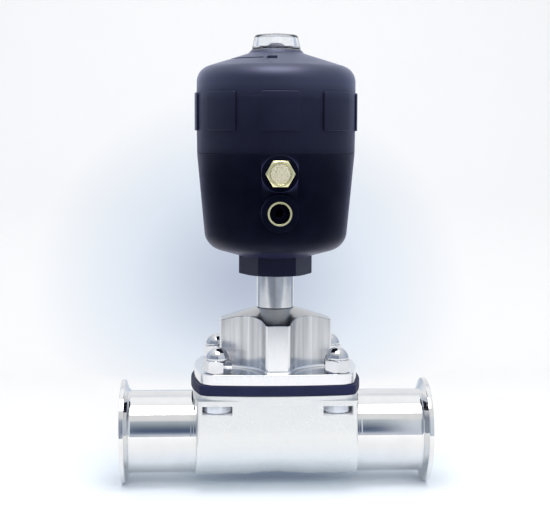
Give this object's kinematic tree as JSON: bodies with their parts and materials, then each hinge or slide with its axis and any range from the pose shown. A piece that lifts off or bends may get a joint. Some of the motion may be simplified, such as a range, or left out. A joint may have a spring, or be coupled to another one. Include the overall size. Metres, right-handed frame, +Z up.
{
  "type": "pneumatic diaphragm valve",
  "caption": "Sanitary weir-type diaphragm valve with clamp ferrule ends and a black plastic spring-return piston actuator with air ports and a clear indicator cap.",
  "frame": {"origin": "the crossing of the pipe axis and the spindle axis, where the pipe line holds the valve", "axes": "+Z up the spindle towards the clear cap, +X along the pipe from the inlet ferrule to the outlet ferrule, air ports towards -Y"},
  "size_m": [0.19, 0.1023, 0.276],
  "materials": {
    "polished_steel": "polished stainless steel",
    "satin_steel": "satin stainless steel",
    "spring_steel": "drawn spring wire",
    "brass": "machined pale brass",
    "sintered_bronze": "grainy sintered bronze",
    "cast_aluminium": "machined aluminium",
    "black_plastic": "finely textured near-black moulding",
    "black_rubber": "matt black elastomer",
    "white_ptfe": "white PTFE",
    "yellow_plastic": "yellow indicator plastic",
    "clear_plastic": "clear moulded plastic"
  },
  "bodies": {
    "valve": {"valve_body": "polished_steel", "inlet_ferrule": "polished_steel", "outlet_ferrule": "polished_steel", "diaphragm": "black_rubber", "bonnet": "polished_steel", "spindle_tube": "polished_steel", "lower_guide_bush": "white_ptfe", "spindle_packing": "black_rubber", "packing_gland": "brass", "tube_nut": "satin_steel", "flange_bolt_1": "satin_steel", "flange_bolt_2": "satin_steel", "flange_bolt_3": "satin_steel", "flange_bolt_4": "satin_steel", "cap_nut_1": "polished_steel", "cap_nut_2": "polished_steel", "cap_nut_3": "polished_steel", "cap_nut_4": "polished_steel"},
    "actuator": {"actuator_housing": "black_plastic", "actuator_cover": "black_plastic", "tube_o_ring": "black_rubber", "seam_o_ring": "black_rubber", "spring_seat": "satin_steel", "clear_cap": "clear_plastic", "cap_o_ring": "black_rubber", "indicator_guide": "black_plastic", "air_port_insert": "brass", "vent_port_insert": "brass", "silencer_body": "brass", "silencer_disc": "sintered_bronze", "outer_spring": "spring_steel", "inner_spring": "spring_steel"},
    "stem": {"diaphragm_stud": "satin_steel", "compressor": "satin_steel", "cross_pin": "satin_steel", "spindle": "satin_steel", "piston": "cast_aluminium", "piston_seal": "black_rubber", "piston_washer": "satin_steel", "piston_nut": "satin_steel", "indicator_pin": "yellow_plastic"}
  },
  "joints": [
    {"name": "actuator_swivel", "type": "hinge", "parent": "valve", "child": "actuator", "pos_m": [0, 0, 0.112], "axis": [0, 0, 1], "continuous": true},
    {"name": "spindle_stroke", "type": "slide", "parent": "valve", "child": "stem", "axis": [0, 0, 1], "range_m": [0, 0.01], "stiffness_N_per_m": 20000, "springref_m": -0.03, "deforming": ["outer_spring", "inner_spring", "diaphragm"]}
  ]
}
